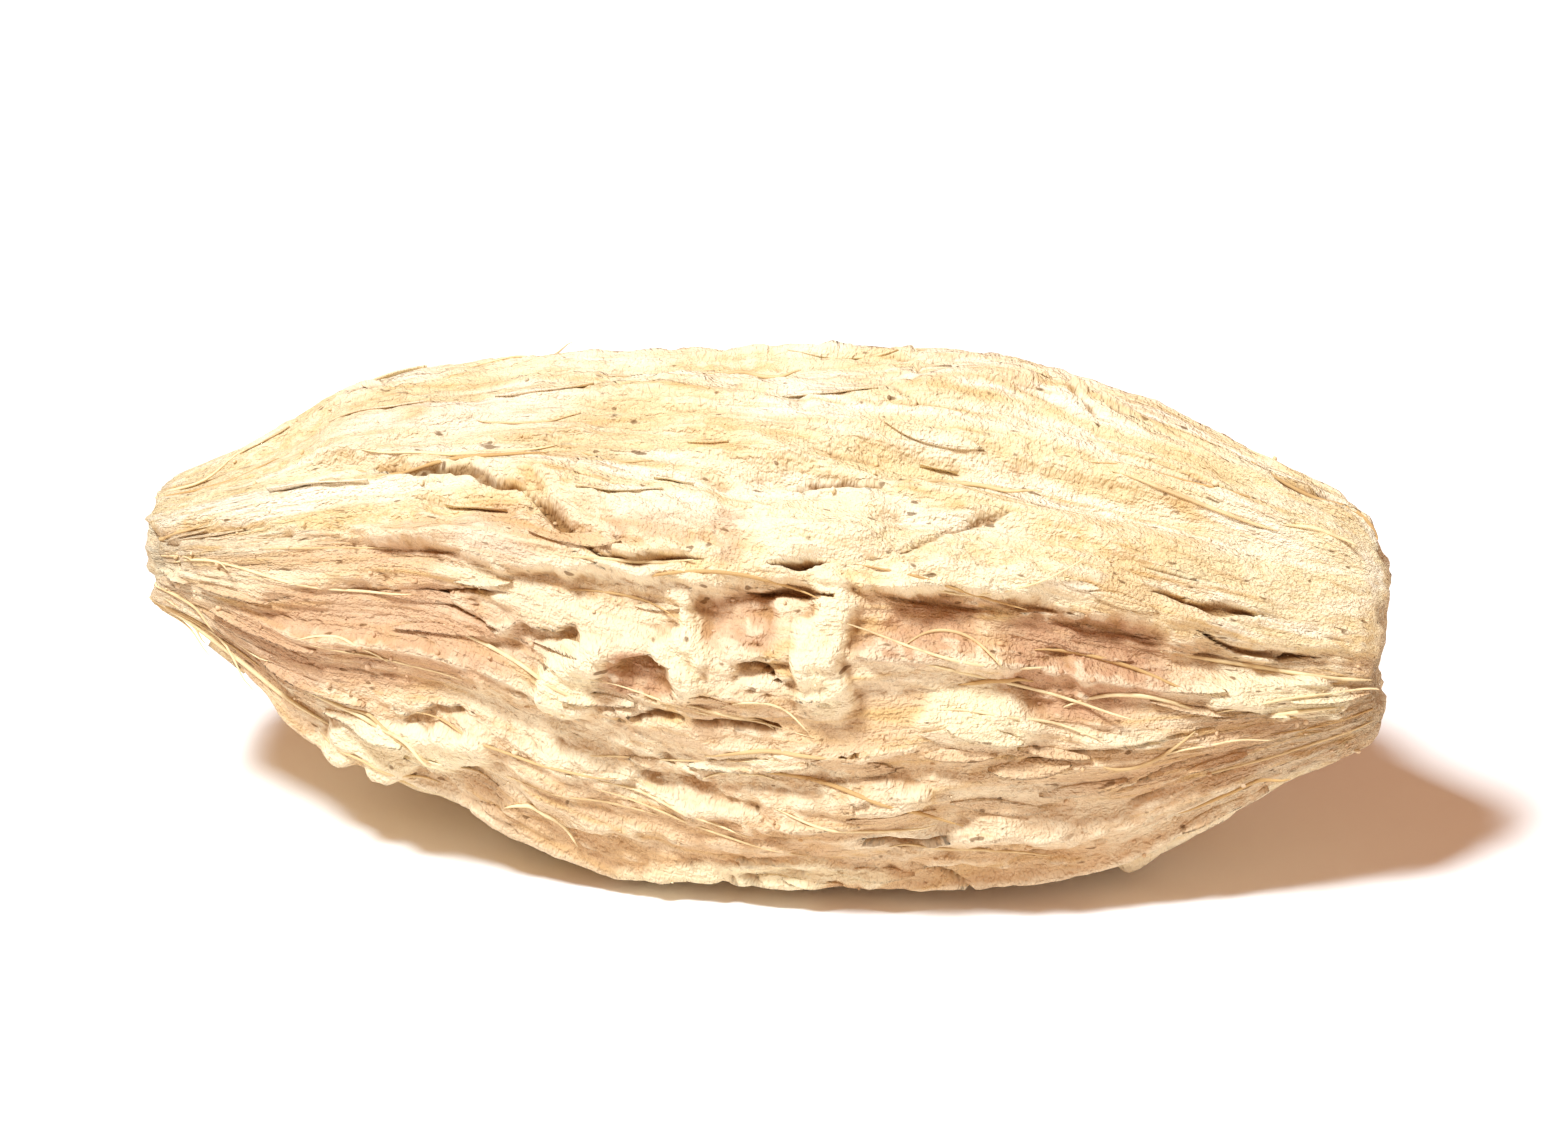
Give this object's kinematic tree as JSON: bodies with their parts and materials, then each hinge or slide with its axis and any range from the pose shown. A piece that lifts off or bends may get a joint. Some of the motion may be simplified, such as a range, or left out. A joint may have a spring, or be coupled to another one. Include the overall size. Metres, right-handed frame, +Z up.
{
  "type": "dried ginger root chunk",
  "caption": "Long pale chunk of cut and dried ginger root with a broken, ledged front, ridged top and a strip of skin on its back, lying on its flat foot.",
  "frame": {"origin": "on the surface that the chunk lies on, under the middle of its length and depth", "axes": "+X along the length, towards the thicker tip; +Z up; -Y towards the broken front that the picture shows"},
  "size_m": [0.014, 0.0072, 0.0055],
  "materials": {
    "dried_root": "dry, powdery and fibrous, pale cream on top and tan in the hollows"
  },
  "bodies": {
    "root": {"ginger_root_chunk": "dried_root"}
  },
  "joints": []
}
